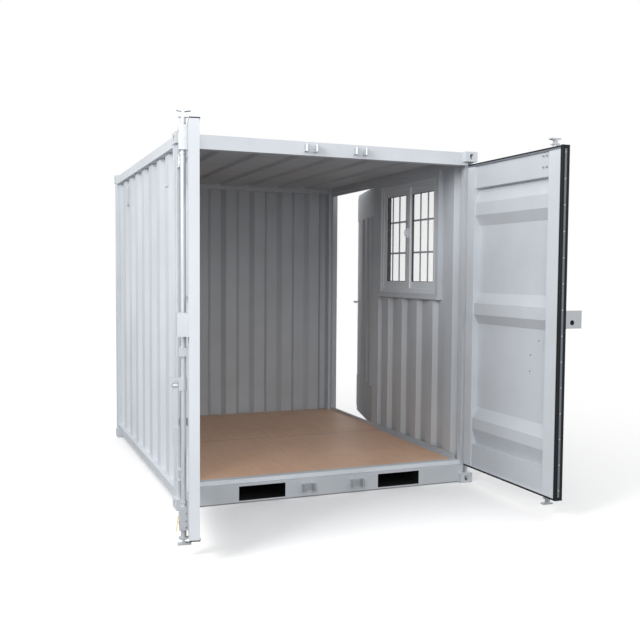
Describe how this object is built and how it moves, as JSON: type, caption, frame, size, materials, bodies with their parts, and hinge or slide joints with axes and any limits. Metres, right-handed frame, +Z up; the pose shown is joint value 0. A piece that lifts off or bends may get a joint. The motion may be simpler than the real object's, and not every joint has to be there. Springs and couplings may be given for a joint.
{
  "type": "shipping container cabin",
  "caption": "Small steel shipping container cabin with open cargo doors, corrugated walls, a plywood floor, fork pockets, a personnel door and a sliding window in its side.",
  "frame": {"origin": "middle of the container's footprint, on the ground under its corner castings", "axes": "+X to the right as seen from the cargo doors, +Y from the cargo doors to the rear end, +Z up"},
  "size_m": [2.5321, 3.5285, 2.26],
  "materials": {
    "frame_paint": "satin",
    "wall_paint": "satin",
    "plywood": "matt",
    "pocket_steel": "matt",
    "threshold_paint": "satin",
    "gear_steel": "zinc plated",
    "seal_rubber": "matt",
    "window_pvc": "smooth",
    "window_pane": "clear",
    "vent_plastic": "smooth"
  },
  "bodies": {
    "container": {"corner_posts": "frame_paint", "bottom_corner_castings": "frame_paint", "top_corner_castings": "frame_paint", "front_sill": "frame_paint", "threshold_plate": "threshold_paint", "front_header": "frame_paint", "rear_sill": "frame_paint", "rear_header": "frame_paint", "side_rails": "frame_paint", "fork_pockets": "pocket_steel", "cross_members": "frame_paint", "plywood_floor": "plywood", "floor_edge_angles": "wall_paint", "left_wall": "wall_paint", "rear_wall": "wall_paint", "right_wall_front": "wall_paint", "right_wall_under_window": "wall_paint", "door_side_post": "frame_paint", "side_door_frame": "frame_paint", "window_surround": "frame_paint", "window_frame": "window_pvc", "window_glass": "window_pane", "roof_panel": "wall_paint", "wall_vents": "vent_plastic", "cam_keepers": "gear_steel", "hinge_lugs": "frame_paint"},
    "left_door": {"left_door_frame": "frame_paint", "left_door_panel": "wall_paint", "left_door_gasket": "seal_rubber", "left_door_hinges": "gear_steel", "left_lock_fittings": "gear_steel"},
    "left_bar": {"left_lock_bar": "gear_steel"},
    "left_grip": {"left_handle": "gear_steel"},
    "right_door": {"right_door_frame": "frame_paint", "right_door_panel": "wall_paint", "right_door_gasket": "seal_rubber", "right_door_hinges": "gear_steel", "right_lock_fittings": "gear_steel"},
    "right_bar": {"right_lock_bar": "gear_steel"},
    "right_grip": {"right_handle": "gear_steel"},
    "side_door": {"side_door_leaf": "wall_paint", "side_door_hinges": "gear_steel"},
    "side_lever": {"side_door_lever": "gear_steel"}
  },
  "joints": [
    {"name": "left_door_hinge", "type": "hinge", "parent": "container", "child": "left_door", "pos_m": [-1.0085, -1.264, 1.1485], "axis": [0, 0, -1], "range_deg": [-100.4, 154.6]},
    {"name": "right_door_hinge", "type": "hinge", "parent": "container", "child": "right_door", "pos_m": [1.0085, -1.264, 1.1485], "axis": [0, 0, 1], "range_deg": [-90.5, 164.5]},
    {"name": "side_door_hinge", "type": "hinge", "parent": "container", "child": "side_door", "pos_m": [1.024, 0.211, 1.1445], "axis": [0, 0, -1], "range_deg": [-15.2, 89.8]},
    {"name": "left_bar_turn", "type": "hinge", "parent": "left_door", "child": "left_bar", "pos_m": [-1.1697, -2.08692, 1.1485], "axis": [0, 0, 1], "range_deg": [0, 90]},
    {"name": "right_bar_turn", "type": "hinge", "parent": "right_door", "child": "right_bar", "pos_m": [1.02582, -2.10238, 1.1485], "axis": [0, 0, -1], "range_deg": [0, 90]},
    {"name": "left_handle_pivot", "type": "hinge", "parent": "left_bar", "child": "left_grip", "pos_m": [-1.21003, -2.07952, 0.872], "axis": [-0.9836, 0.1805, 0], "range_deg": [-90, 0]},
    {"name": "right_handle_pivot", "type": "hinge", "parent": "right_bar", "child": "right_grip", "pos_m": [1.06682, -2.10202, 0.872], "axis": [-1, -0.0087, 0], "range_deg": [-90, 0]},
    {"name": "side_lever_turn", "type": "hinge", "parent": "side_door", "child": "side_lever", "pos_m": [1.22788, 1.0644, 1.168], "axis": [0.965, -0.2622, 0], "range_deg": [0, 45], "stiffness_Nm_per_rad": 2, "springref_deg": -22.92}
  ]
}
